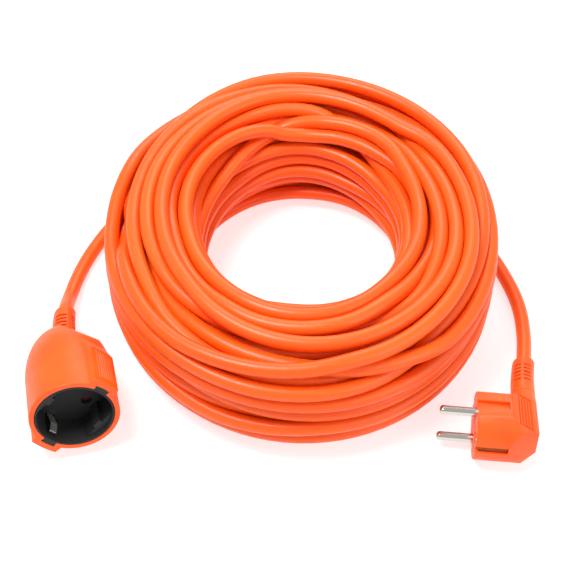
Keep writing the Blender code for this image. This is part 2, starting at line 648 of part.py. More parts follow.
def pin_bridge(frame):
    """The hard block inside the plug that holds the pins apart and takes the pull on them."""
    middle = -PLUG_WALL - GAP - BRIDGE_THICKNESS / 2
    drum = rod_mesh("plug_pin_bridge", BRIDGE_RADIUS, BRIDGE_THICKNESS, 40, middle=(0, 0, middle))
    block = part("plug_pin_bridge", drum, GREY, frame)
    limit = box_mesh("bridge_limit", (40 * MM, 38 * MM, 40 * MM), (0, 8 * MM, 0))
    combine(block, cutter("bridge_limit", limit, frame), "INTERSECT")
    for side in (1, -1):
        hole = rod_mesh("bridge_hole", PIN_RADIUS + GAP, 12 * MM, 16, middle=(side * PIN_OFFSET, 0, middle))
        combine(block, cutter(f"bridge_hole_{side}", hole, frame))
    hole_middle = (0, -EARTH_SLEEVE_PLACE, middle)
    hole = rod_mesh("bridge_earth_hole", EARTH_HOLE_RADIUS, 12 * MM, 24, middle=hole_middle)
    combine(block, cutter("bridge_earth_hole", hole, frame))


def plug_earth_parts(frame):
    """The two side strips in their slots, and the round contact behind the face."""
    floor = PLUG_RADIUS - EARTH_SLOT_DEPTH
    for name, side in (("plug_earth_strip_back", 1), ("plug_earth_strip_front", -1)):
        size = (EARTH_SLOT_WIDTH - 2 * GAP, 0.7 * MM, EARTH_SLOT_LENGTH - 2 * MM)
        middle = (0, side * (floor + GAP + 0.35 * MM), -EARTH_SLOT_LENGTH / 2 - 0.3 * MM)
        part(name, box_mesh(name, size, middle), NICKEL, frame)
    outline = [(3.1 * MM, -0.8 * MM), (3.1 * MM, -9.8 * MM), (2.45 * MM, -9.8 * MM), (2.45 * MM, -0.8 * MM)]
    sleeve = turned("plug_earth_sleeve", outline, NICKEL, frame, 16)
    sleeve.location = (0, -EARTH_SLEEVE_PLACE, 0)


def plug_cores(frame):
    """Three cores bend from the lead, across the plug, to the pins and the earth sleeve."""
    low = -PLUG_WALL - GAP - BRIDGE_THICKNESS
    depth = -PLUG_EXIT_DEPTH
    earth_y = 2.5 * MM - EARTH_SLEEVE_PLACE
    ends = (("live", 1, 0, BROWN), ("neutral", -1, 0, BLUE), ("earth", 0, earth_y, GREEN))
    for name, side, y, look in ends:
        x = side * PIN_OFFSET
        start = Vector((side * 1.7 * MM, 11.0 * MM, depth + (1.9 if side else -0.8) * MM))
        straight = start + Vector((0, -2.0 * MM, 0))
        bend = Vector((x * 0.5, 6.0 * MM + y * 0.3, start.z))
        rise = (x * 0.9, y + 1.0 * MM, depth + 7.0 * MM)
        route = [start, straight, bend, rise, (x, y, depth + 10.5 * MM), (x, y, low - 2.2 * MM)]
        tube(f"plug_{name}_core", smooth_route(route, 10), CORE_RADIUS, look, frame)
        crimp(f"plug_{name}_crimp", (x, y, low - 2.0 * MM), frame)


def plug():
    frame = empty("plug_frame", plug_matrix())
    plug_body(frame)
    plug_pin("plug_live_pin", 1, frame)
    plug_pin("plug_neutral_pin", -1, frame)
    pin_bridge(frame)
    plug_earth_parts(frame)
    plug_cores(frame)
    start = (0, PLUG_BOSS_END + GAP, -PLUG_EXIT_DEPTH)
    length = PLUG_RELIEF_END - PLUG_BOSS_END - GAP
    root = PLUG_BOSS_RADIUS - 0.2 * MM
    relief = strain_relief("plug_strain_relief", frame, start, root, length, 5, (0, -1, 0), PLUG_RELIEF_BEND)
    relief.rotation_euler = (math.pi / 2, 0, 0)


# ---------------------------------------------------------------- the lead


def coil():
    """The wound lead's outer shape: a turned ring with round corners, squeezed to a slight oval."""
    r = COIL_ROUNDING
    outer, inner = COIL_OUTER - r, COIL_INNER + r
    low, top = r, COIL_HEIGHT - r
    corners = ((outer, top, 90), (outer, low, 0), (inner, low, -90), (inner, top, -180))
    outline = []
    for x, z, start in corners:
        outline += arc((x, z), (r, r), start, start - 90, 3)
    ring = turned("cord_coil", outline, CORD_ORANGE, None, 48)
    ring.location = COIL_CENTRE
    ring.scale = COIL_SQUEEZE


def coil_wall(angle, clear, height):
    """A point clear of the coil's outer wall, at an angle in degrees from +X."""
    a = math.radians(angle)
    reach = COIL_OUTER + clear
    offset = Vector((reach * COIL_SQUEEZE[0] * math.cos(a), reach * COIL_SQUEEZE[1] * math.sin(a), height))
    return COIL_CENTRE + offset


def leads():
    """Each end of the lead, from inside its fitting, along the ground, to the coil's outer wall."""
    ground = CORD_RADIUS + 0.1 * MM
    beside = CORD_RADIUS + 0.6 * MM
    distances = [d * MM for d in (-4.3, 0.0, 8.0, 16.0, 24.0)]
    start = (0, 0, -SHELL_LENGTH - GAP)
    route = relief_axis(socket_matrix(), start, (0, 0, -1), SOCKET_SIDEWAYS, SOCKET_RELIEF_BEND, distances)
    for place in ((-125.8, -11.5, 8.2), (-122.7, 10.5, 4.6), (-116.0, 30.5, 4.2), (-105.0, 51.5, 4.2)):
        route.append(Vector(place) * MM)
    route.append(coil_wall(137, beside, ground))
    tube("socket_lead", smooth_route(route, 40), CORD_RADIUS, CORD_ORANGE)
    distances = [d * MM for d in (-12.8, 0.0, 9.0, 18.0, 28.0)]
    start = (0, PLUG_BOSS_END + GAP, -PLUG_EXIT_DEPTH)
    route = relief_axis(plug_matrix(), start, (0, 1, 0), (0, 0, -1), PLUG_RELIEF_BEND, distances)
    for place in ((134.3, -39.5, 4.9), (135.0, -21.5, 4.2), (132.9, -5.5, 4.2)):
        route.append(Vector(place) * MM)
    route += [Vector((127.6, 12.5, 4.2)) * MM, Vector((120.0, 32.5, 4.2)) * MM]
    route.append(coil_wall(28, beside, ground))
    tube("plug_lead", smooth_route(route, 40), CORD_RADIUS, CORD_ORANGE)


clear_scene()
parts = collection("extension_cord")
cutters = collection("cutters")
coil()
socket()
plug()
leads()
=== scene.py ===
# %% [markdown]
# # An orange extension cord in a coil
#
# The real thing is one long three-core lead. It has an earthed socket on one end and an angled
# plug on the other, and it is wound by hand into a fat ring. The CAD model gives every hard
# piece its place. This lesson gives the lead its real length and its turns, gives the soft
# mouldings their ribs and slots, and gives every piece a finish.
#
# Everything is in metres. A finished piece's object stays at the origin, and its place is in
# its mesh, so that the pieces and the CAD share one frame.

# %% Load the CAD frame
import math

import bmesh
import bpy
import numpy as np
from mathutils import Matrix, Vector


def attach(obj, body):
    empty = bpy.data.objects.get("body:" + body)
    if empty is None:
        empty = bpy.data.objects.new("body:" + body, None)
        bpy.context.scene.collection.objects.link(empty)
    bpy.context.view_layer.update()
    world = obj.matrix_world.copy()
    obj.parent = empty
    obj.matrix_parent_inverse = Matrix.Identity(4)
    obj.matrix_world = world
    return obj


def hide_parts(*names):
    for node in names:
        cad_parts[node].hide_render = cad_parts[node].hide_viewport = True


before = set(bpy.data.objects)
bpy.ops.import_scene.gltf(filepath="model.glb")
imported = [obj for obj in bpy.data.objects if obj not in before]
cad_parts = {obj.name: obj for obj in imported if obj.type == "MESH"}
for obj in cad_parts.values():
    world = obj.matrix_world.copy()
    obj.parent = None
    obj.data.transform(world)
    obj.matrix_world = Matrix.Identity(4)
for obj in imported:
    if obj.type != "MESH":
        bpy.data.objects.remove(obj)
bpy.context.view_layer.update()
MM = 0.001

# %% [markdown]
# ## Where the camera stands
#
# A product is often looked at from the front and well above, so that a flat ring still shows
# both its top and its outer wall. The camera could be turned by hand, but a direction worked
# out from two points is easier to read and to change.

# %% Camera
def towards(place, target):
    """The turn, as Euler angles, that points a camera or a lamp from its place to its target."""
    return (Vector(target) - Vector(place)).to_track_quat("-Z", "Y").to_euler()


CAMERA_PLACE = (-0.0013, -0.4446, 0.5362)
CAMERA_TARGET = (-0.0013, 0.0054, 0.0)
camera_data = bpy.data.cameras.new("front_camera")
camera_data.sensor_width = 36
camera_data.lens = 74.5
camera = bpy.data.objects.new("front_camera", camera_data)
camera.location = CAMERA_PLACE
camera.rotation_euler = towards(CAMERA_PLACE, CAMERA_TARGET)
bpy.context.scene.collection.objects.link(camera)
bpy.context.scene.camera = camera
print("camera", CAMERA_PLACE, "looks at", CAMERA_TARGET)

# %% [markdown]
# ## Light and floor
#
# A white studio has a huge soft lamp above and pale walls all round. The lamps could be many
# small ones, but one big panel gives each turn of the lead a single long highlight, and the
# pale surroundings keep the shaded sides orange.

# %% Studio
def panel(name, place, target, size, power):
    """A square lamp of the given side, which shines from its place to its target."""
    data = bpy.data.lights.new(name, "AREA")
    data.size = size
    data.energy = power
    lamp = bpy.data.objects.new(name, data)
    lamp.location = place
    lamp.rotation_euler = towards(place, target)
    bpy.context.scene.collection.objects.link(lamp)


panel("key_panel", (-0.30, -0.10, 0.95), (0, 0, 0.02), 0.34, 9.0)
panel("fill_panel", (0.75, -0.55, 0.55), (0, 0, 0.02), 0.7, 3.5)
panel("back_panel", (0.1, 0.8, 0.7), (0, 0, 0.02), 0.6, 4.0)
world = bpy.data.worlds.new("studio")
world.use_nodes = True
world.node_tree.nodes["Background"].inputs["Color"].default_value = (1, 1, 1, 1)
world.node_tree.nodes["Background"].inputs["Strength"].default_value = 0.62
bpy.context.scene.world = world
bpy.context.scene.view_settings.view_transform = "Standard"

floor_mesh = bpy.data.meshes.new("studio_floor")
floor_mesh.from_pydata([(-6, -6, 0), (6, -6, 0), (6, 6, 0), (-6, 6, 0)], [], [(0, 1, 2, 3)])
floor = bpy.data.objects.new("studio_floor", floor_mesh)
bpy.context.scene.collection.objects.link(floor)
floor_paint = bpy.data.materials.new("floor_paint")
floor_paint.use_nodes = True
floor_sockets = floor_paint.node_tree.nodes["Principled BSDF"].inputs
floor_sockets["Base Color"].default_value = (0.42, 0.42, 0.42, 1)
floor_sockets["Roughness"].default_value = 0.6
floor_sockets["Emission Color"].default_value = (1, 1, 1, 1)
floor_sockets["Emission Strength"].default_value = 0.66
floor_mesh.materials.append(floor_paint)

# %% [markdown]
# ## Surfaces as grids
#
# Each new piece is a grid of points over two parameters: how far along it, and how far round
# it. Joining each four neighbours makes the faces. Blender's own modelling tools could make
# the same shapes, but a formula keeps every size in plain sight.

# %% Grid helpers
def grid_faces(rows, columns, closed_rows=False):
    """Four-sided faces of a grid whose columns close into a ring. Face corners go along a row first."""
    i = np.arange(rows if closed_rows else rows - 1)[:, None]
    j = np.arange(columns)[None, :]
    below, beside = (i + 1) % rows, (j + 1) % columns
    here, next_row = i * columns, below * columns
    return np.stack([here + j, here + beside, next_row + beside, next_row + j], -1).reshape(-1, 4)


def place_in(matrix, points):
    """Points of a piece's own frame, moved into the shared one: turned by the matrix, then shifted."""
    return points @ matrix[:3, :3].T + matrix[:3, 3]


def turn_about(axis, degrees):
    """A 4 by 4 turn about one of the three axes."""
    c, s = math.cos(math.radians(degrees)), math.sin(math.radians(degrees))
    made = np.eye(4)
    a, b = {"X": (1, 2), "Y": (2, 0), "Z": (0, 1)}[axis]
    made[[a, b, a, b], [a, b, b, a]] = c, c, -s, s
    return made


def shift(x, y, z):
    """A 4 by 4 shift."""
    made = np.eye(4)
    made[:3, 3] = x, y, z
    return made


def new_piece(name, points, faces, finish, body="cord_set", uv=None):
    """A smooth mesh object from an array of points and an array or list of faces, with its finish and body."""
    mesh = bpy.data.meshes.new(name)
    mesh.from_pydata(points.tolist(), [], faces if isinstance(faces, list) else faces.tolist())
    mesh.materials.append(finish)
    mesh.shade_smooth()
    if uv is not None:
        layer = mesh.uv_layers.new(name="along_and_round")
        layer.data.foreach_set("uv", np.asarray(uv, dtype=np.float32).ravel())
    made = bpy.data.objects.new(name, mesh)
    bpy.context.scene.collection.objects.link(made)
    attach(made, body)
    print(name, len(points), "points", len(faces), "faces")
    return made


# %% [markdown]
# ## Finishes
#
# Moulded plastic is never one flat colour. It has slow changes in tint, a fine grain from the
# mould, and small rubbed marks. Each finish here is built from a few noise patterns on object
# coordinates, so that it needs no unwrapping and stays put on the piece.

# %% Finish helpers
def noise(tree, source, scale, detail=3.0, rough=0.5):
    """A noise pattern: the number at a point is a smooth random field, scale bumps to the metre."""
    made = tree.nodes.new("ShaderNodeTexNoise")
    made.inputs["Scale"].default_value = scale
    made.inputs["Detail"].default_value = detail
    made.inputs["Roughness"].default_value = rough
    tree.links.new(source, made.inputs["Vector"])
    return made.outputs["Fac"]


def mapped(tree, value, low, high, start=0.3, stop=0.7):
    """A number stretched from the range start to stop onto the range low to high, and held there."""
    made = tree.nodes.new("ShaderNodeMapRange")
    for name, number in (("From Min", start), ("From Max", stop), ("To Min", low), ("To Max", high)):
        made.inputs[name].default_value = number
    tree.links.new(value, made.inputs["Value"])
    return made.outputs["Result"]


def mixed(tree, share, first, second):
    """A colour between two others. Each is a colour of three numbers or a socket."""
    made = tree.nodes.new("ShaderNodeMix")
    made.data_type = "RGBA"
    tree.links.new(share, made.inputs["Factor"])
    for name, colour in (("A", first), ("B", second)):
        socket = [s for s in made.inputs if s.name == name and s.type == "RGBA"][0]
        if isinstance(colour, tuple):
            socket.default_value = (*colour, 1)
        else:
            tree.links.new(colour, socket)
    return [s for s in made.outputs if s.type == "RGBA"][0]


def bumped(tree, height, distance, strength, under=None):
    """Shading relief: the surface seems to rise by the height times the distance."""
    made = tree.nodes.new("ShaderNodeBump")
    made.inputs["Distance"].default_value = distance
    made.inputs["Strength"].default_value = strength
    tree.links.new(height, made.inputs["Height"])
    if under is not None:
        tree.links.new(under, made.inputs["Normal"])
    return made.outputs["Normal"]


def stretched(tree, source, scale, place=(0, 0, 0), turn=(0, 0, 0)):
    """Coordinates scaled by a different amount on each axis, so that a pattern turns into streaks."""
    made = tree.nodes.new("ShaderNodeMapping")
    made.inputs["Location"].default_value = place
    made.inputs["Rotation"].default_value = turn
    made.inputs["Scale"].default_value = scale
    tree.links.new(source, made.inputs["Vector"])
    return made.outputs["Vector"]


def start_finish(name):
    """An empty finish: its tree, its shader and the object coordinates."""
    made = bpy.data.materials.new(name)
    made.use_nodes = True
    tree = made.node_tree
    source = tree.nodes.new("ShaderNodeTexCoord").outputs["Object"]
    return made, tree, tree.nodes["Principled BSDF"], source


def plastic(name, colour, deep, rough=(0.36, 0.5), grain=2600.0, relief=0.00004, scuffs=0.25, groove=None):
    """Moulded plastic: slow tint changes, a fine spark-eroded grain, and paler rubbed marks.

    A groove colour, where one is given, is painted shade in the slots: it takes over as the u of the piece's
    own map goes to 1."""
    made, tree, shader, source = start_finish(name)
    tint = mapped(tree, noise(tree, source, 38.0), 0.0, 1.0)
    body = mixed(tree, tint, colour, deep)
    rubs = mapped(tree, noise(tree, source, 420.0, 6.0, 0.7), 0.0, scuffs, 0.62, 0.8)
    pale = tuple(min(1.0, c * 1.25 + 0.03) for c in colour)
    body = mixed(tree, rubs, body, pale)
    # Painted shade: the groove colour darkens the slots, on top of the shade their real depth casts.
    if groove is not None:
        own = tree.nodes.new("ShaderNodeUVMap")
        own.uv_map = "along_and_round"
        split = tree.nodes.new("ShaderNodeSeparateXYZ")
        tree.links.new(own.outputs["UV"], split.inputs["Vector"])
        body = mixed(tree, split.outputs["X"], body, groove)
    tree.links.new(body, shader.inputs["Base Color"])
    tree.links.new(mapped(tree, noise(tree, source, 160.0, 4.0), *rough), shader.inputs["Roughness"])
    shader.inputs["Specular IOR Level"].default_value = 0.34
    fine = bumped(tree, noise(tree, source, grain, 2.0), relief, 0.5)
    tree.links.new(bumped(tree, noise(tree, source, 90.0, 2.0), 0.0002, 0.25, fine), shader.inputs["Normal"])
    return made


def metal(name, colour, dark, rough=(0.14, 0.3), streaks=(300.0, 300.0, 4000.0)):
    """Plated metal: fine drawn streaks, a patchy shine, and a little tarnish in the dull patches."""
    made, tree, shader, source = start_finish(name)
    lines = noise(tree, stretched(tree, source, streaks), 1.0, 4.0, 0.6)
    patches = noise(tree, source, 220.0, 4.0)
    tree.links.new(mixed(tree, mapped(tree, patches, 0.0, 0.6), colour, dark), shader.inputs["Base Color"])
    tree.links.new(mapped(tree, lines, *rough), shader.inputs["Roughness"])
    tree.links.new(bumped(tree, lines, 0.00002, 0.35), shader.inputs["Normal"])
    shader.inputs["Metallic"].default_value = 1.0
    return made


# %% [markdown]
# ### One finish for each material
#
# The moulded bodies are orange PVC, the socket's insert is black nylon, and the pins and clips
# are nickel plated brass. The plug's earth strips are dull metal, tinted dark orange as a painted
# reflection of the orange moulding round them.
# The cores keep the usual colours of a three-core lead: brown, blue and green.

# %% Finishes of the hard pieces
ORANGE, DEEP_ORANGE = (0.94, 0.112, 0.008), (0.86, 0.084, 0.004)
moulded_orange = plastic("moulded_orange", ORANGE, DEEP_ORANGE)
# The dark groove colour is painted shade in the sleeves' slots.
orange_with_painted_slot_shade = plastic("orange_with_painted_slot_shade", ORANGE, DEEP_ORANGE, groove=(0.38, 0.022, 0.002))
black_plastic = plastic("black_plastic", (0.006, 0.006, 0.006), (0.003, 0.003, 0.003), (0.25, 0.4), 3000.0)
grey_plastic = plastic("grey_plastic", (0.055, 0.055, 0.06), (0.035, 0.035, 0.038), (0.4, 0.55))
red_plastic = plastic("red_plastic", (0.16, 0.012, 0.010), (0.09, 0.007, 0.006), (0.35, 0.5))
nickel = metal("nickel", (0.58, 0.53, 0.48), (0.30, 0.26, 0.23))
spring_nickel = metal("spring_nickel", (0.95, 0.94, 0.90), (0.75, 0.72, 0.66), (0.34, 0.5))
# Painted reflection: the earth strips' dark orange stands in for the orange moulding they reflect.
strip_metal_painted_reflection = metal("strip_metal_painted_reflection", (0.40, 0.10, 0.03), (0.24, 0.06, 0.02), (0.45, 0.6))
brass = metal("brass", (0.75, 0.53, 0.22), (0.42, 0.27, 0.10))
spring_steel = metal("spring_steel", (0.62, 0.62, 0.63), (0.38, 0.38, 0.39))
brown_core = plastic("brown_core", (0.085, 0.028, 0.010), (0.05, 0.016, 0.006))
blue_core = plastic("blue_core", (0.015, 0.08, 0.42), (0.01, 0.05, 0.30))
green_core = plastic("green_core", (0.10, 0.34, 0.04), (0.06, 0.25, 0.03))
print("finishes", [m.name for m in bpy.data.materials])

# %% [markdown]
# ## The lead's facts
#
# The lead is 25 metres of round cord, 8.2 mm thick. Each fitting holds an end of it. Both
# fittings lean, because their leads droop to the floor. The places below repeat the CAD's.

# %% Frames of the two fittings and sizes of the coil
CORD_RADIUS = 4.1 * MM
COIL_CENTRE = np.array([8.0, 4.0, 0.0]) * MM
COIL_OUTER = np.array([110.1, 120.9]) * MM
COIL_INNER = np.array([54.3, 59.7]) * MM
COIL_HEIGHT = 75.0 * MM

socket_lean = turn_about("Z", 13.3) @ turn_about("X", 80.0) @ turn_about("Z", 43.0)
socket_frame = shift(-0.1087, -0.1088, 0.0306) @ socket_lean
facing = np.array([[0, 0, -1, 0], [0, 1, 0, 0], [1, 0, 0, 0], [0, 0, 0, 1.0]])
plug_frame = shift(0.0978, -0.1057, 0.0181) @ turn_about("Z", -5.4) @ turn_about("X", -11.7) @ facing

SOCKET_BEND, PLUG_BEND = 9.0, 5.5  # one over the bend radius of each strain relief, in metres
socket_relief_frame = socket_frame @ shift(0, 0, -0.0603) @ turn_about("Z", -43.0)
plug_relief_frame = plug_frame @ shift(0, 0.0243, -0.0268) @ turn_about("X", 90.0) @ turn_about("Z", -90.0)


def bowed_axis(matrix, bend, far):
    """Points down a strain relief's axis, which bows to its own +x.

    The shift to +x is half the bend times the square of the way along."""
    return place_in(matrix, np.stack([0.5 * bend * np.maximum(far, 0) ** 2, 0 * far, -far], -1))


print("socket looks along", socket_frame[:3, 2].round(3), "plug lead leaves along", plug_frame[:3, 1].round(3))

# %% [markdown]
# ## Winding the coil
#
# A hand-wound coil is neither neat layers nor a tangle. The turns go round and round, each a
# little off its neighbour, and they slip past each other until they rest side by side. One
# way is to draw every turn by hand. Here the cord is laid in rough rows first, then wanders,
# and then pushes its neighbours away wherever it is closer to them than its own thickness.

# %% A rough order of the turns
STATIONS = 90  # points to a turn
TURNS = 45
ENTRY_ANGLE = 137.0  # degrees from +X, where the socket's lead meets the coil
LAST_ANGLE = 109.0  # of the part turn before the plug's lead leaves
OUTSIDE = 4.7 * MM


def wound_rows():
    """Places of the turns in a cut through the coil, as shares of its half width and height from -1 to 1.

    Five columns are wound to and fro in eight rows, from the floor up. The outermost column then
    comes down again, so that the last turn ends low on the outer wall."""
    row = np.repeat(np.arange(8), 5)
    step = np.tile(np.arange(5), 8)
    step = np.where(row % 2 == 0, 4 - step, step)
    across = -0.98 + 0.38 * step + 0.09 * (row % 2)
    up = -1.0 + row / 3.5
    keep = ~(((row == 7) | (row == 0)) & (step == 0))
    column = np.linspace(0.8, -0.72, 7)
    return np.concatenate([across[keep], np.full(7, 0.96)]), np.concatenate([up[keep], column])


across, up = wound_rows()
count = int(STATIONS * (TURNS + LAST_ANGLE / 360.0)) + 1
turn = np.arange(count) / STATIONS
angle = np.radians(ENTRY_ANGLE) - 2 * np.pi * turn
middle = (COIL_OUTER + COIL_INNER) / 2
half_width = (COIL_OUTER - COIL_INNER) / 2
outward = np.stack([np.cos(angle) / middle[0], np.sin(angle) / middle[1]], -1)
outward /= np.linalg.norm(outward, axis=1)[:, None]
reach = half_width[0] * outward[:, 0] ** 2 + half_width[1] * outward[:, 1] ** 2 - CORD_RADIUS
rise = COIL_HEIGHT / 2 - CORD_RADIUS
print("turns", len(across), "points", count, "wall", reach.min(), "to", reach.max())

# %% A wandering cord
SEED = 12
ROLL = 0.35  # radians that the whole bundle rolls to and fro on its way round
generator = np.random.default_rng(SEED)


def smooth_step(t):
    """0 below 0 and 1 above 1, with a soft S between them."""
    t = np.clip(t, 0, 1)
    return t * t * (3 - 2 * t)


def softened(values, rounds):
    """Each inner value moves halfway to the mean of its two neighbours, again and again."""
    for _ in range(rounds):
        values = values.copy()
        values[1:-1] = 0.5 * values[1:-1] + 0.25 * (values[:-2] + values[2:])
    return values


STRAYS = (6, 11, 17, 22, 28, 33, 35, 37, 40, 42, 44)  # turns that stray far and ride over the others
loose = softened(1.0 + 2.4 * np.isin(np.floor(turn), STRAYS), 300)


def wander(size):
    """A smooth random track: a random number every 0.4 of a turn, joined and softened."""
    knots = int(TURNS * 2.5)
    track = np.interp(np.arange(count), np.linspace(0, count, knots), generator.normal(0, size, knots))
    return softened(track, 40) * loose


index = np.floor(turn).astype(int)
share = turn - index
begins = np.concatenate([[0.0], generator.uniform(0.0, 0.10, TURNS - 1), [0.13]])[index]
lasts = np.where((index == 0) | (index == TURNS), 0.16, 0.2)
moved = smooth_step((share - begins) / lasts)
across_ends = np.concatenate([[9.0], across, [9.0]])
up_ends = np.concatenate([[-1.0], up, [-1.0]])
wide = np.where(across_ends[index] > 5, reach + CORD_RADIUS + OUTSIDE, across_ends[index] * reach)
wide_next = np.where(across_ends[index + 1] > 5, reach + CORD_RADIUS + OUTSIDE, across_ends[index + 1] * reach)
inside = smooth_step(turn / 0.2) * smooth_step((turn[-1] - turn) / 0.2)
side = wide * (1 - moved) + wide_next * moved + inside * wander(3.0 * MM)
level = up_ends[index] * (1 - moved) + up_ends[index + 1] * moved
height = CORD_RADIUS + rise * (1 + level) + inside * wander(2.8 * MM)
roll = ROLL * np.cos(2 * angle - 0.5) * inside
flat, tall = side / reach, (height - COIL_HEIGHT / 2) / rise
side = (flat * np.cos(roll) - tall * np.sin(roll)) * reach
height = COIL_HEIGHT / 2 + (flat * np.sin(roll) + tall * np.cos(roll)) * rise
print("side", side.min(), side.max(), "height", height.min(), height.max())

# %% Turns push each other apart
SPACING = 8.25 * MM
ROUNDS = 420
rows = math.ceil(count / STATIONS)
spare = rows * STATIONS - count


def pushed(place, spacing):
    """How far each point moves away from the other turns at its own angle.

    Two points closer than the spacing each take half of what is missing, along the line
    between them. The sum is divided by the root of how many neighbours pushed."""
    full = np.concatenate([place, np.full((spare, 2), 9.0)]).reshape(rows, STATIONS, 2).transpose(1, 0, 2)
    apart = full[:, :, None] - full[:, None]
    distance = np.sqrt((apart**2).sum(-1)) + 1e-9
    missing = np.clip(spacing - distance, 0, None)
    missing[:, np.arange(rows), np.arange(rows)] = 0
    move = (apart / distance[..., None] * (missing * 0.5)[..., None]).sum(2)
    move /= np.sqrt(np.maximum((missing > 0).sum(2), 1))[..., None]
    return move.transpose(1, 0, 2).reshape(-1, 2)[:count], missing


def held_in(place):
    """Points outside the coil's rounded section slide back onto it: a superellipse, squarer below."""
    flat = place[:, 0] / reach
    tall = (place[:, 1] - COIL_HEIGHT / 2) / rise
    power = np.where(tall > 0, 3.4, 7.0)
    size = (np.abs(flat) ** power + np.abs(tall) ** power) ** (1 / power)
    shrink = np.where((size > 1) & (inside > 0.99), size, 1.0)
    kept = np.stack([flat / shrink * reach, COIL_HEIGHT / 2 + tall / shrink * rise], -1)
    kept[:, 1] = np.maximum(kept[:, 1], CORD_RADIUS + 0.1 * MM)
    return kept


place = np.stack([side, height], -1)
for done in range(ROUNDS):
    move, missing = pushed(place, SPACING)
    place = held_in(place + move)
    ease = 0.5 if done < ROUNDS * 0.5 else 0.2 if done < ROUNDS * 0.85 else 0.08
    place[1:-1] = (1 - ease) * place[1:-1] + ease * 0.5 * (place[:-2] + place[2:])
deep = (missing > 0.1 * SPACING).sum() / 2 / count
print("overlap on average", round(missing[missing > 0].mean() / MM, 3), "mm")
print("overlap at most", round(missing.max() / MM, 2), "mm")
print("deep points", round(float(deep), 4))

# %% [markdown]
# ## The two ends of the lead
#
# Each end comes straight out of its fitting, droops to the floor and runs along it in a loose
# bow to the coil. A smooth curve through a few points does that, and the last of them are the
# coil's own first points, so that the two join without a kink.

# %% The whole centreline
def smooth_route(points, step):
    """A Catmull-Rom curve: a cubic between two points, whose slope at each point is half the line
    between that point's neighbours. The result is cut into even steps."""
    points = np.asarray(points, float)
    padded = np.concatenate([[2 * points[0] - points[1]], points, [2 * points[-1] - points[-2]]])
    a, b, c, d = padded[:-3, None], padded[1:-2, None], padded[2:-1, None], padded[3:, None]
    t = np.linspace(0, 1, 24, endpoint=False)[None, :, None]
    dense = 0.5 * (2 * b + (c - a) * t + (2 * a - 5 * b + 4 * c - d) * t**2 + (3 * b - a - 3 * c + d) * t**3)
    dense = np.concatenate([dense.reshape(-1, 3), points[-1:]])
    along = np.concatenate([[0], np.cumsum(np.linalg.norm(np.diff(dense, axis=0), axis=1))])
    even = np.linspace(0, along[-1], int(along[-1] / step) + 1)
    return np.stack([np.interp(even, along, dense[:, k]) for k in range(3)], -1)


wound_x = middle[0] * np.cos(angle) + place[:, 0] * outward[:, 0]
wound_y = middle[1] * np.sin(angle) + place[:, 0] * outward[:, 1]
wound = np.stack([wound_x, wound_y, place[:, 1]], -1) + COIL_CENTRE
socket_side = bowed_axis(socket_relief_frame, SOCKET_BEND, np.array([-4.3, 0.0, 8.0, 16.0, 24.0]) * MM).tolist()
socket_side += [[-0.1258, -0.0115, 0.0082], [-0.1227, 0.0105, 0.0046]]
socket_side += [[-0.1160, 0.0305, 0.0042], [-0.1050, 0.0515, 0.0042]]
plug_side = bowed_axis(plug_relief_frame, PLUG_BEND, np.array([-12.8, 0.0, 9.0, 18.0, 28.0]) * MM).tolist()
plug_side += [[0.1343, -0.0395, 0.0049], [0.1350, -0.0215, 0.0042], [0.1329, -0.0055, 0.0042]]
plug_side += [[0.1276, 0.0125, 0.0042], [0.1200, 0.0325, 0.0042]]
lead_in = smooth_route(socket_side + [wound[0], wound[6]], 4 * MM)
past_joint = np.linalg.norm(wound[0] - wound[6]) + 3 * MM
lead_in = lead_in[np.linalg.norm(lead_in - wound[6], axis=1) > past_joint]
lead_out = smooth_route(plug_side + [wound[-1], wound[-7]], 4 * MM)
past_joint = np.linalg.norm(wound[-1] - wound[-7]) + 3 * MM
lead_out = lead_out[np.linalg.norm(lead_out - wound[-7], axis=1) > past_joint]
centreline = np.concatenate([lead_in, wound, lead_out[::-1]])
joint_weight = np.zeros(len(centreline))
for joint in (len(lead_in), len(lead_in) + len(wound)):
    joint_weight = np.maximum(joint_weight, 1 - np.abs(np.arange(len(centreline)) - joint) / 10)
for _ in range(6):
    eased = 0.25 * (centreline[:-2] + 2 * centreline[1:-1] + centreline[2:])
    centreline[1:-1] += joint_weight[1:-1, None].clip(0, 1) * (eased - centreline[1:-1])
length = np.linalg.norm(np.diff(centreline, axis=0), axis=1).sum()
print("centreline", len(centreline), "points", round(length, 3), "m")

# %% [markdown]
# ## The jacket
#
# The jacket is soft orange PVC pressed round three twisted cores, so it is smooth, with faint
# drawing lines along it and a hint of the twist below. A curve with a round bevel could carry
# it. A grid swept along the centreline is used, because it also carries its own map of how far
# along and how far round each point is, and the streaks follow that map.

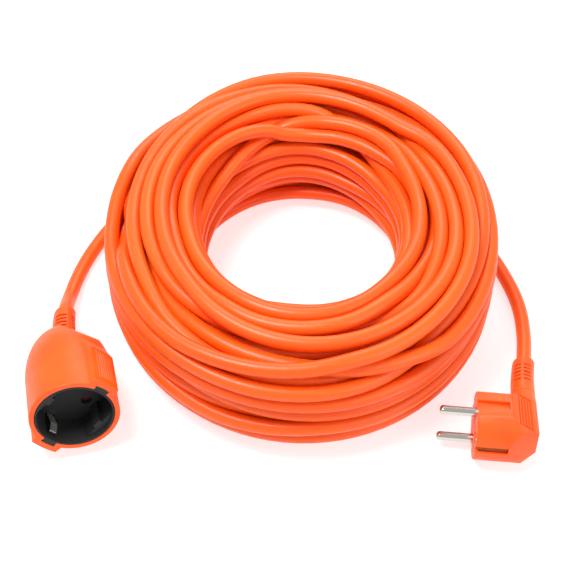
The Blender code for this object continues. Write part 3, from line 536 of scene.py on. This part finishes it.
# %% Cord finish
def cord_finish():
    """Cord jacket: tint that drifts along the cord, drawing lines along it, and the twist of three cores."""
    made, tree, shader, source = start_finish("cord_jacket")
    own = tree.nodes.new("ShaderNodeUVMap")
    own.uv_map = "along_and_round"
    drift = mapped(tree, noise(tree, stretched(tree, own.outputs["UV"], (5.0, 60.0, 1.0)), 1.0, 3.0), 0.0, 1.0)
    body = mixed(tree, drift, (0.93, 0.112, 0.007), (0.84, 0.084, 0.004))
    dust = mapped(tree, noise(tree, source, 260.0, 6.0, 0.7), 0.0, 0.22, 0.6, 0.8)
    tree.links.new(mixed(tree, dust, body, (0.98, 0.16, 0.02)), shader.inputs["Base Color"])
    tree.links.new(mapped(tree, noise(tree, source, 120.0, 4.0), 0.30, 0.42), shader.inputs["Roughness"])
    lines = noise(tree, stretched(tree, own.outputs["UV"], (12.0, 1500.0, 1.0)), 1.0, 3.0)
    twist = tree.nodes.new("ShaderNodeTexWave")
    twist.inputs["Scale"].default_value = 1.0
    twist.inputs["Distortion"].default_value = 0.6
    tree.links.new(stretched(tree, own.outputs["UV"], (2.2, 18.3, 0.0)), twist.inputs["Vector"])
    fine = bumped(tree, lines, 0.00003, 0.4)
    grain = bumped(tree, noise(tree, source, 1800.0, 2.0), 0.00003, 0.4, fine)
    tree.links.new(bumped(tree, twist.outputs["Fac"], 0.00012, 0.3, grain), shader.inputs["Normal"])
    shader.inputs["Specular IOR Level"].default_value = 0.36
    return made


cord_jacket = cord_finish()

# %% Sweep the cord
SIDES = 14


def swept(path, radius, sides):
    """A round tube: at each point of the path, a ring in the plane of a level line across it and the
    normal that points upwards from it."""
    along = np.gradient(path, axis=0)
    along /= np.linalg.norm(along, axis=1)[:, None]
    sideways = np.cross(along, (0, 0, 1.0))
    sideways /= np.linalg.norm(sideways, axis=1)[:, None]
    upward = np.cross(sideways, along)
    spin = 2 * np.pi * np.arange(sides) / sides
    ring = np.cos(spin)[None, :, None] * sideways[:, None] + np.sin(spin)[None, :, None] * upward[:, None]
    return (path[:, None] + radius * ring).reshape(-1, 3)


def swept_map(path, radius, sides):
    """The tube's own map at each face corner: metres along it, and metres round it."""
    far = np.concatenate([[0], np.cumsum(np.linalg.norm(np.diff(path, axis=0), axis=1))])
    i, j = np.meshgrid(np.arange(len(path) - 1), np.arange(sides), indexing="ij")
    round_step = 2 * np.pi * radius / sides
    corners = [(far[i], j), (far[i], j + 1), (far[i + 1], j + 1), (far[i + 1], j)]
    return np.stack([np.stack([u, v * round_step], -1) for u, v in corners], 2).reshape(-1, 2)


def capped(points, faces, uv, path, sides):
    """The tube with a middle point on each end, joined to the end's ring by triangles."""
    first, last, j = len(points), len(points) + 1, np.arange(sides)
    start = np.stack([np.full(sides, first), (j + 1) % sides, j], -1)
    base = (len(path) - 1) * sides
    stop = np.stack([np.full(sides, last), base + j, base + (j + 1) % sides], -1)
    points = np.concatenate([points, path[:1], path[-1:]])
    uv = np.concatenate([uv, np.zeros((6 * sides, 2))])
    return points, faces.tolist() + start.tolist() + stop.tolist(), uv


tube_points = swept(centreline, CORD_RADIUS, SIDES)
tube_faces = grid_faces(len(centreline), SIDES)[:, ::-1]
tube_map = swept_map(centreline, CORD_RADIUS, SIDES).reshape(-1, 4, 2)[:, ::-1].reshape(-1, 2)
tube_points, tube_faces, tube_map = capped(tube_points, tube_faces, tube_map, centreline, SIDES)
cord = new_piece("cord_run", tube_points, tube_faces, cord_jacket, uv=tube_map)
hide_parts("cord_coil", "socket_lead", "plug_lead")

# %% [markdown]
# ## Strain reliefs
#
# Where the lead leaves a fitting it wears a sleeve of the same orange PVC, with short slots cut
# across it, so that it bends in a curve and not at one point. Cutting the slots one by one
# would work, but they all follow one rule: a groove that repeats along the sleeve, and fades
# out to each side of a slot's middle. So the radius is a formula of how far along and how far
# round, and the whole sleeve is one grid.

# %% Strain relief surfaces
RELIEF_LENGTH = 22.0 * MM
PLUG_RELIEF_LENGTH = 27.2 * MM
RELIEF_BORE = 4.55 * MM
SLOT_DEPTH = 1.4 * MM
TIP_ROUNDING = 1.6 * MM


def relief_surface(root, tip, length, slots, pitch, first, middles, half, bend, matrix):
    """A bowed, tapered sleeve with slots.

    The radius falls evenly from root to tip and rounds off at the tip. Each slot's depth comes off
    it, by a soft box over 0.45 of the pitch along and over the half angle to each side of its middle.
    The axis bows to +x by half the bend times the square of the way along. The third result is
    how deep in a slot each face corner lies, from 0 to 1, as the u of the sleeve's own map, by which
    the finish paints shade into the slots."""
    far = np.linspace(0, length, 220)[:, None]
    spin = 2 * np.pi * np.arange(120)[None, :] / 120
    radius = root + (tip - root) * far / length
    radius = radius - 0.9 * MM * (1 - np.sqrt(1 - np.clip((far - length) / TIP_ROUNDING + 1, 0, 1) ** 2))
    number = np.round((far - first) / pitch)
    near = np.abs(far - first - number * pitch) / pitch
    groove = smooth_step((0.28 - near) / 0.06) * ((number >= 0) & (number < slots))
    shade = np.zeros_like(spin)
    for middle_angle in middles:
        away = np.abs((spin - math.radians(middle_angle) + np.pi) % (2 * np.pi) - np.pi)
        shade = np.maximum(shade, smooth_step((math.radians(half) - away) / 0.10))
    radius = radius - SLOT_DEPTH * groove * shade
    x, y = radius * np.cos(spin) + 0.5 * bend * far**2, radius * np.sin(spin)
    outer = np.stack([x, y, -far + 0 * spin], -1)
    back = np.linspace(length, 0, 12)[:, None]
    bore_x = RELIEF_BORE * np.cos(spin) + 0.5 * bend * back**2
    bore = np.stack([bore_x, RELIEF_BORE * np.sin(spin) + 0 * back, -back + 0 * spin], -1)
    grid = np.concatenate([outer, bore])
    faces = grid_faces(len(grid), 120, closed_rows=True)
    # The slot depth share also drives the finish's painted shade in the slots.
    sunk = np.concatenate([groove * shade, np.zeros((len(bore), 120))]).ravel()[faces.ravel()]
    return place_in(matrix, grid.reshape(-1, 3)), faces, np.stack([sunk, 0 * sunk], -1)


points, faces, sunk = relief_surface(6.6 * MM, 6.05 * MM, RELIEF_LENGTH, 4, 2.9 * MM, 5.2 * MM,
                                     (5, 98, 185, 278), 33, SOCKET_BEND, socket_relief_frame)
socket_relief = new_piece("socket_bend_sleeve", points, faces, orange_with_painted_slot_shade, uv=sunk)
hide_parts("socket_strain_relief")
points, faces, sunk = relief_surface(6.5 * MM, 6.05 * MM, PLUG_RELIEF_LENGTH, 5, 2.9 * MM, 8.5 * MM,
                                     (70, 127, 250, 307), 22, PLUG_BEND, plug_relief_frame)
plug_relief = new_piece("plug_bend_sleeve", points, faces, orange_with_painted_slot_shade, uv=sunk)
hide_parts("plug_strain_relief")

# %% [markdown]
# ## The socket's shell
#
# The shell is moulded over the socket's works in one shot: round, with a soft shoulder, a flat
# grip ridge over each earth clip, fine ribs on the ridge, and a flat cut beside the neck. A
# turned shape and added blocks would give the same outline with hard joints. Here the turned
# shape is a grid, and the ridges, ribs and flat are small shifts of its points.

# %% Socket shell
SHELL_RADIUS, NECK_RADIUS = 23.3 * MM, 6.6 * MM
SHELL_STRAIGHT, SHELL_LENGTH = 27.0 * MM, 60.0 * MM
# The bore, from the rim to the neck: millimetres from the axis, and below the mouth.
SHELL_INSIDE = ((20.6, 3.4), (20.6, 20), (20.6, 40.5), (17.6, 44.5), (13.6, 51), (4.4, 54), (4.4, 60))
RIDGE_REACH, RIDGE_HALF, NOTCH_HALF, NOTCH_DEPTH = 26.6 * MM, 7.7 * MM, 4.2 * MM, 2.8 * MM
RIDGE_STRAIGHT = 25.0 * MM
RIDGE_FALL = 0.414  # beyond the straight part, the ridge's top falls by this share of the way
RIB_DEPTH, RIB_PITCH, RIB_HALF, CROWN = 0.42 * MM, 1.5 * MM, 4.9 * MM, 0.6 * MM
SHOULDER_FLAT, SHOULDER_SLANT, SHOULDER_TURN = 40.5 * MM, math.radians(34.0), math.radians(8.0)


def shell_columns():
    """Angles round the shell, even but closer together at the edges of the ridges and the rim's notches."""
    even = np.arange(0, 360, 1.8)
    edges = [math.degrees(math.asin(half / SHELL_RADIUS)) for half in (RIDGE_HALF, NOTCH_HALF)]
    middles = [side + sign * edge for side in (0, 180) for edge in edges for sign in (1, -1)]
    close = [middle + np.linspace(-2.2, 2.2, 15) for middle in middles]
    return np.radians(np.unique(np.round(np.concatenate([even, *close]) % 360, 3)))


def shell_surface():
    """The shell as a grid: rows run from the neck up the outside, over the rim and down the bore.

    The outside is straight, then an ellipse down to the neck. Within a ridge, x is lifted to the
    ridge's flat top, and a cosine of y adds ribs to it. Points past a slanting plane beside the
    neck drop back onto that plane. At the rim, the ledge inside the ridge sinks into a notch."""
    spin = shell_columns()[None, :]
    shoulder = SHELL_LENGTH - SHELL_STRAIGHT
    rise = np.sin(np.linspace(0, np.pi / 2, 40)) ** 1.5
    up = np.concatenate([-SHELL_LENGTH + shoulder * rise, np.linspace(-SHELL_STRAIGHT, -0.6 * MM, 30)[1:]])
    drop = np.clip((-up - SHELL_STRAIGHT) / shoulder, 0, 1)
    wide = NECK_RADIUS + (SHELL_RADIUS - NECK_RADIUS) * np.sqrt(1 - drop**2)
    radius = np.concatenate([wide, np.array([23.22, 23.05, 22.8]) * MM])[:, None]
    z = np.concatenate([up, np.array([-0.3, -0.1, 0.0]) * MM])[:, None] + 0 * spin
    x, y = radius * np.cos(spin), radius * np.sin(spin)
    facing_side = np.abs(np.cos(spin)) > 0.7
    on_ridge = smooth_step((RIDGE_HALF + 0.35 * MM - np.abs(y)) / (0.7 * MM)) * facing_side
    fall = RIDGE_FALL * np.maximum(-z - RIDGE_STRAIGHT, 0)
    top = RIDGE_REACH - (SHELL_RADIUS - radius) * (z > -1 * MM) - fall
    ribs = RIB_DEPTH * (0.5 + 0.5 * np.cos(2 * np.pi * y / RIB_PITCH))
    ribs = ribs * smooth_step((RIB_HALF - np.abs(y)) / (0.4 * MM))
    ribs = ribs * smooth_step((-z - 3 * MM) / (1 * MM)) * smooth_step((z + RIDGE_STRAIGHT) / (1.5 * MM))
    crown = CROWN * (y / RIDGE_HALF) ** 2
    lifted = np.maximum(top - crown - ribs, np.abs(x))
    x = np.where(np.cos(spin) > 0, 1, -1) * (np.abs(x) + on_ridge * (lifted - np.abs(x)))
    for flip in (1, -1):
        level = math.cos(SHOULDER_SLANT) * flip
        outward = level * math.cos(SHOULDER_TURN), level * math.sin(SHOULDER_TURN)
        normal = np.array([*outward, -math.sin(SHOULDER_SLANT)])
        past = np.maximum(x * normal[0] + y * normal[1] + z * normal[2] - SHOULDER_FLAT, 0)
        x, y, z = x - past * normal[0], y - past * normal[1], z - past * normal[2]
    outside = np.stack([x, y, z], -1)
    at_ridge = on_ridge[-1:]
    aside = np.abs(SHELL_RADIUS * np.sin(spin))
    in_notch = smooth_step((NOTCH_HALF + 0.1 * MM - aside) / (0.2 * MM)) * facing_side
    ledge = 22.78 * MM + 0.42 * MM * at_ridge
    rim_rows = [(ledge, 0 * spin), (ledge, -NOTCH_DEPTH * in_notch)]
    for r, plain, sunk in ((20.9, 0, 2.8), (20.72, 0.08, 2.82), (20.6, 0.3, 2.9)):
        rim_rows.append((r * MM + 0 * spin, -(plain + (sunk - plain) * in_notch) * MM))
    for r, low in SHELL_INSIDE:
        rim_rows.append((r * MM + 0 * spin, -low * MM + 0 * spin))
    rim_rows = [np.stack([r * np.cos(spin), r * np.sin(spin), low], -1) for r, low in rim_rows]
    inside_rows = np.concatenate(rim_rows)
    grid = np.concatenate([outside, inside_rows])
    faces = grid_faces(len(grid), grid.shape[1], closed_rows=True)[:, ::-1]
    return place_in(socket_frame, grid.reshape(-1, 3)), faces


points, faces = shell_surface()
shell = new_piece("socket_moulded_shell", points, faces, moulded_orange)
shell.data.set_sharp_from_angle(angle=math.radians(38))
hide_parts("socket_shell")


def faces_out(piece):
    """The mesh's signed volume in cubic centimetres: it is positive where its faces point outwards."""
    mesh = piece.data
    mesh.calc_loop_triangles()
    corners = np.empty(len(mesh.loop_triangles) * 3, dtype=np.int64)
    mesh.loop_triangles.foreach_get("vertices", corners)
    places = np.empty(len(mesh.vertices) * 3)
    mesh.vertices.foreach_get("co", places)
    a, b, c = places.reshape(-1, 3)[corners].reshape(-1, 3, 3).transpose(1, 0, 2)
    return (a * np.cross(b, c)).sum() / 6 * 1e6


for piece in (cord, socket_relief, plug_relief, shell):
    print(piece.name, "volume", round(faces_out(piece), 2), "cm3")

# %% [markdown]
# ## The plug's moulding
#
# The plug is one block of PVC moulded round its pins. The CAD gives its true faces, but with
# knife edges. A real moulding has edges rounded by a third of a millimetre, which catch the
# light. So a copy of the CAD's mesh is merged, its flat areas are joined up again, and a Bevel
# rounds the edges between them.

# %% Plug moulding
def softened_copy(node, name, width, finish):
    """The CAD node's mesh, merged, its flat areas joined, and its sharp edges bevelled by the width."""
    bm = bmesh.new()
    bm.from_mesh(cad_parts[node].data)
    bmesh.ops.remove_doubles(bm, verts=bm.verts, dist=0.00002)
    bmesh.ops.dissolve_limit(bm, angle_limit=math.radians(1.0), verts=bm.verts, edges=bm.edges)
    mesh = bpy.data.meshes.new(name)
    bm.to_mesh(mesh)
    bm.free()
    mesh.materials.clear()
    mesh.materials.append(finish)
    mesh.shade_smooth()
    made = bpy.data.objects.new(name, mesh)
    bpy.context.scene.collection.objects.link(made)
    bevel = made.modifiers.new("rounded_edges", "BEVEL")
    bevel.width = width
    bevel.segments = 2
    bevel.limit_method = "ANGLE"
    bevel.angle_limit = math.radians(28)
    bevel.harden_normals = True
    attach(made, "cord_set")
    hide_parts(node)
    print(name, len(mesh.vertices), "points before its bevel")
    return made


plug_moulding = softened_copy("plug_body", "plug_moulding", 0.3 * MM, moulded_orange)
print("plug moulding volume", round(faces_out(plug_moulding), 2), "cm3")

# %% [markdown]
# ## The hard pieces
#
# The insert, contacts, pins, cores and crimps have true shapes in the CAD already. They are
# small or hidden, so a finer surface would add nothing, and each one only takes its finish.
# One table of names keeps every finish beside the pieces that wear it.

# %% Finishes of the CAD pieces
FINISHES = {
    "moulded_orange": ("socket_shell", "plug_body", "socket_strain_relief", "plug_strain_relief"),
    "black_plastic": ("socket_insert",),
    "grey_plastic": ("socket_contact_carrier", "plug_pin_bridge"),
    "red_plastic": ("socket_shutter",),
    "nickel": ("plug_live_pin", "plug_neutral_pin", "plug_earth_sleeve"),
    "spring_nickel": ("earth_clip_right", "earth_clip_left"),
    "strip_metal_painted_reflection": ("plug_earth_strip_back", "plug_earth_strip_front"),
    "brass": ("socket_live_contact", "socket_neutral_contact", "socket_earth_bridge",
              "socket_live_crimp", "socket_neutral_crimp", "socket_earth_crimp",
              "plug_live_crimp", "plug_neutral_crimp", "plug_earth_crimp"),
    "spring_steel": ("shutter_spring",),
    "brown_core": ("socket_live_core", "plug_live_core"),
    "blue_core": ("socket_neutral_core", "plug_neutral_core"),
    "green_core": ("socket_earth_core", "plug_earth_core"),
}
for finish_name, members in FINISHES.items():
    for member in members:
        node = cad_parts[member]
        node.data.materials.clear()
        node.data.materials.append(bpy.data.materials[finish_name])
print("finished nodes", sum(len(m) for m in FINISHES.values()), "of", len(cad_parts))

# %% [markdown]
# ## The plug on the lead's far end
#
# The real lead can be unwound, so the coil is only how it lies today. The lead leaves the socket's
# sleeve, is 25 metres long, and carries the plug on its far end. The plug's pieces are gathered
# here: the CAD's plug nodes that are not replaced, with the new moulding and sleeve.

# %% The plug's pieces
REPLACED = ("plug_lead", "plug_body", "plug_strain_relief")
plug_names = [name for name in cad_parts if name.startswith("plug_") and name not in REPLACED]
plug_pieces = [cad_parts[name] for name in plug_names]
plug_pieces += [plug_moulding, plug_relief]
